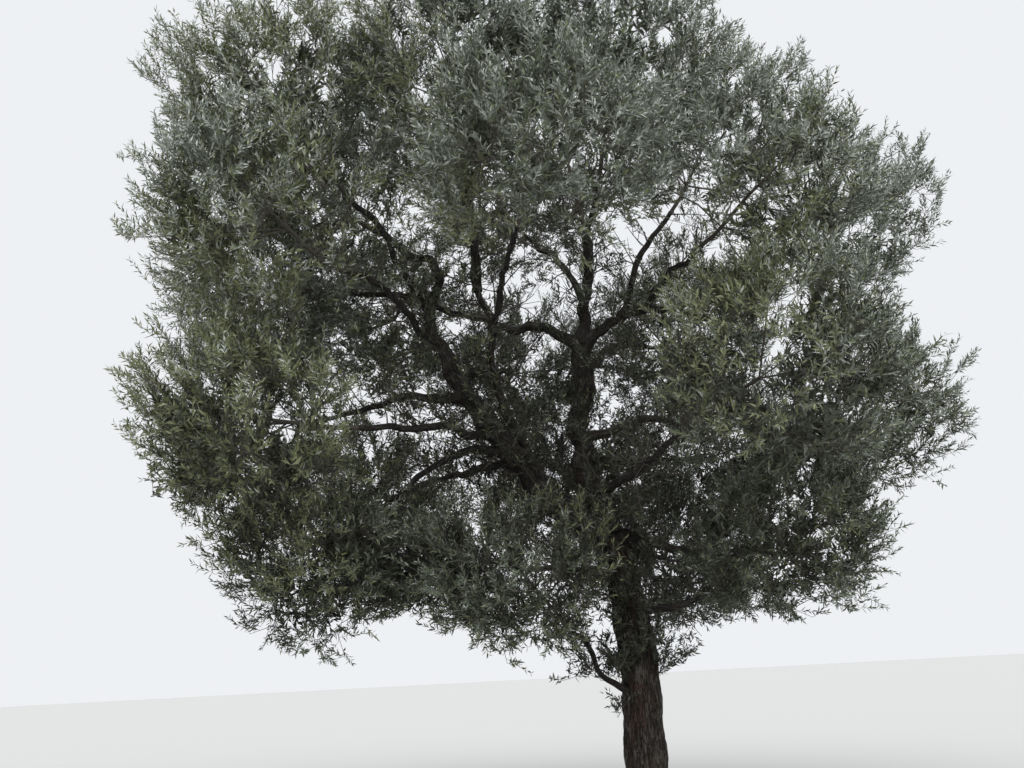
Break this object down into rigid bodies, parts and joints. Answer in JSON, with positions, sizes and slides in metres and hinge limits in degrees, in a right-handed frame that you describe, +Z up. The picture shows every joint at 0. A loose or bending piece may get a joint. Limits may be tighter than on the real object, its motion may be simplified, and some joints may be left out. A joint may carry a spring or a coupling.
{
  "type": "olive tree",
  "caption": "Mature garden olive tree with a leaning forked trunk, spreading boughs and an open rounded evergreen crown, rooted in level ground.",
  "frame": {"origin": "centre of the flat cut through the trunk at ground level", "axes": "+Z straight up, +X to the viewer's right in the picture, +Y away from the viewer"},
  "size_m": [9.7318, 8.7095, 9.2017],
  "materials": {
    "bark": "rough fissured grey-brown bark",
    "foliage": "matt grey-green leaves, paler and silvery beneath"
  },
  "bodies": {
    "root": {"bough_centre": "bark", "bough_curled": "bark", "bough_high_back_left": "bark", "bough_high_back_right": "bark", "bough_high_front": "bark", "bough_high_front_left": "bark", "bough_high_front_right": "bark", "bough_left_crossing": "bark", "bough_low_back_right": "bark", "bough_low_left": "bark", "bough_lower_left": "bark", "bough_middle": "bark", "bough_right": "bark", "bough_right_low": "bark", "bough_side_back": "bark", "bough_side_back_left": "bark", "bough_side_back_right": "bark", "bough_side_front_left": "bark", "bough_side_front_right": "bark", "bough_side_left": "bark", "bough_side_right": "bark", "bough_slender_left": "bark", "bough_top_back": "bark", "bough_top_front": "bark", "bough_top_front_left": "bark", "bough_top_front_right": "bark", "bough_top_right": "bark", "bough_upper_left": "bark", "foliage_centre": "foliage", "foliage_curled": "foliage", "foliage_high_back_left": "foliage", "foliage_high_back_right": "foliage", "foliage_high_front": "foliage", "foliage_high_front_left": "foliage", "foliage_high_front_right": "foliage", "foliage_left_crossing": "foliage", "foliage_low_back_right": "foliage", "foliage_low_left": "foliage", "foliage_lower_left": "foliage", "foliage_middle": "foliage", "foliage_right": "foliage", "foliage_right_low": "foliage", "foliage_side_back": "foliage", "foliage_side_back_left": "foliage", "foliage_side_back_right": "foliage", "foliage_side_front_left": "foliage", "foliage_side_front_right": "foliage", "foliage_side_left": "foliage", "foliage_side_right": "foliage", "foliage_slender_left": "foliage", "foliage_top_back": "foliage", "foliage_top_front": "foliage", "foliage_top_front_left": "foliage", "foliage_top_front_right": "foliage", "foliage_top_right": "foliage", "foliage_upper_left": "foliage", "leader": "bark", "left_limb": "bark", "pruned_stub": "bark", "trunk": "bark"}
  },
  "joints": []
}
